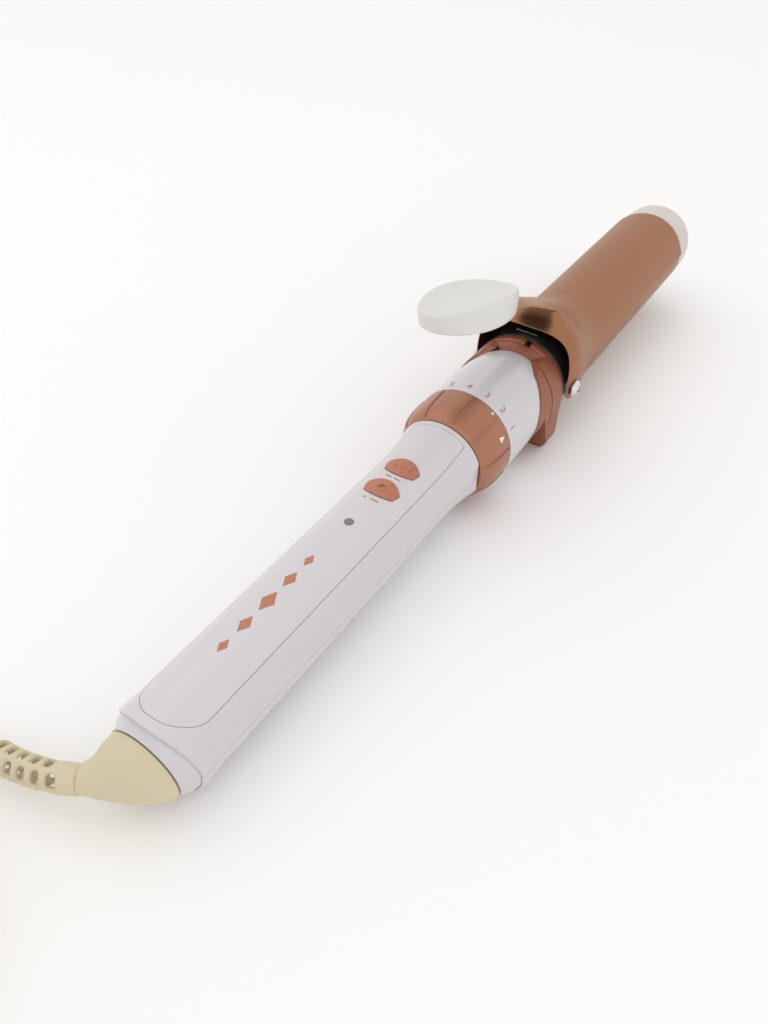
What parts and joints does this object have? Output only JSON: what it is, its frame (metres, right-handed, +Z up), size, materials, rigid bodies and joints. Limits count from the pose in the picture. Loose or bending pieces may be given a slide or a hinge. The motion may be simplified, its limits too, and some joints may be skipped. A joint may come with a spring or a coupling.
{
  "type": "curling iron",
  "caption": "Spring-clamp curling iron with a wide heated barrel, thumb lever, table foot, setting dial, two buttons and a coiled swivel cord with plug.",
  "frame": {"origin": "on the table, below the centre of the iron without its free cord", "axes": "+X runs along the iron towards the cool tip, +Y to its left, +Z up; the barrel leans up by 2.2 degrees because the iron rests on its foot and the rear of its handle"},
  "size_m": [0.5348, 0.1058, 0.0873],
  "materials": {
    "handle_white": "glossy pearl white",
    "panel_white": "glossy pearl white",
    "neck_white": "glossy white",
    "rest_white": "satin warm white",
    "tip_white": "satin warm white",
    "rose_plastic": "satin rose gold",
    "collar_rose": "satin copper",
    "barrel_copper": "satin copper coating",
    "clamp_copper": "satin copper coating",
    "boot_cream": "matte cream",
    "bush_black": "matte black",
    "steel_chrome": "nickel plated",
    "strap_steel": "plain",
    "aluminium_shoe": "cast",
    "ceramic": "sintered ceramic",
    "board_green": "solder mask",
    "black_plastic": "moulded",
    "lens_grey": "smoked clear",
    "brass": "plain",
    "wire_white": "silicone sleeve",
    "cord_cream": "matte cream",
    "mark_brown": "printed",
    "mark_white": "printed"
  },
  "bodies": {
    "handle": {"barrel_tube": "barrel_copper", "boost_switch": "black_plastic", "brush_holder": "handle_white", "circuit_board": "board_green", "clamp_spring": "strap_steel", "collar_foot": "collar_rose", "contact_brushes": "brass", "cord_coil": "cord_cream", "cord_lead": "cord_cream", "cord_tail": "cord_cream", "cord_tie": "black_plastic", "detent_plunger": "strap_steel", "dial_spindle": "handle_white", "handle_end_ring": "handle_white", "handle_lower_shell": "handle_white", "handle_upper_shell": "handle_white", "heater_leads": "wire_white", "heater_shoe_lower": "aluminium_shoe", "heater_shoe_upper": "aluminium_shoe", "hinge_screws": "steel_chrome", "hinge_strap": "strap_steel", "housing_screws": "steel_chrome", "indicator_led": "lens_grey", "insulating_bush": "bush_black", "led_lens": "lens_grey", "neck_housing": "neck_white", "plug_blades": "brass", "plug_body": "cord_cream", "power_relay": "black_plastic", "power_switch": "black_plastic", "ptc_heater": "ceramic", "setting_marks": "mark_brown", "thermal_fuse": "black_plastic", "thermistor": "black_plastic", "tip_cap": "tip_white", "top_panel": "panel_white"},
    "clamp": {"clamp_lever": "clamp_copper", "thumb_rest": "rest_white"},
    "dial": {"setting_dial": "rose_plastic", "dial_pointer": "mark_white"},
    "power_button": {"power_button": "rose_plastic"},
    "boost_button": {"boost_button": "rose_plastic"},
    "swivel": {"swivel_boot": "boot_cream", "slip_pin": "brass", "slip_ring": "brass", "strain_relief": "boot_cream"}
  },
  "joints": [
    {"name": "clamp_hinge", "type": "hinge", "parent": "handle", "child": "clamp", "pos_m": [0.03761, 0, 0.02421], "axis": [0, -1, 0], "range_deg": [0, 25], "stiffness_Nm_per_rad": 0.6, "springref_deg": -28.65, "deforming": ["clamp_spring"]},
    {"name": "dial_turn", "type": "hinge", "parent": "handle", "child": "dial", "pos_m": [-0.02361, 0, 0.0211], "axis": [-0.9993, 0, -0.0378], "range_deg": [0, 88]},
    {"name": "power_press", "type": "slide", "parent": "handle", "child": "power_button", "axis": [0.0378, 0, -0.9993], "range_m": [0, 0.0008], "stiffness_N_per_m": 1500, "springref_m": -0.0008},
    {"name": "boost_press", "type": "slide", "parent": "handle", "child": "boost_button", "axis": [0.0378, 0, -0.9993], "range_m": [0, 0.0008], "stiffness_N_per_m": 1500, "springref_m": -0.0008},
    {"name": "cord_swivel", "type": "hinge", "parent": "handle", "child": "swivel", "pos_m": [-0.1795, 0, 0.01521], "axis": [0.9993, 0, 0.0378], "continuous": true}
  ]
}
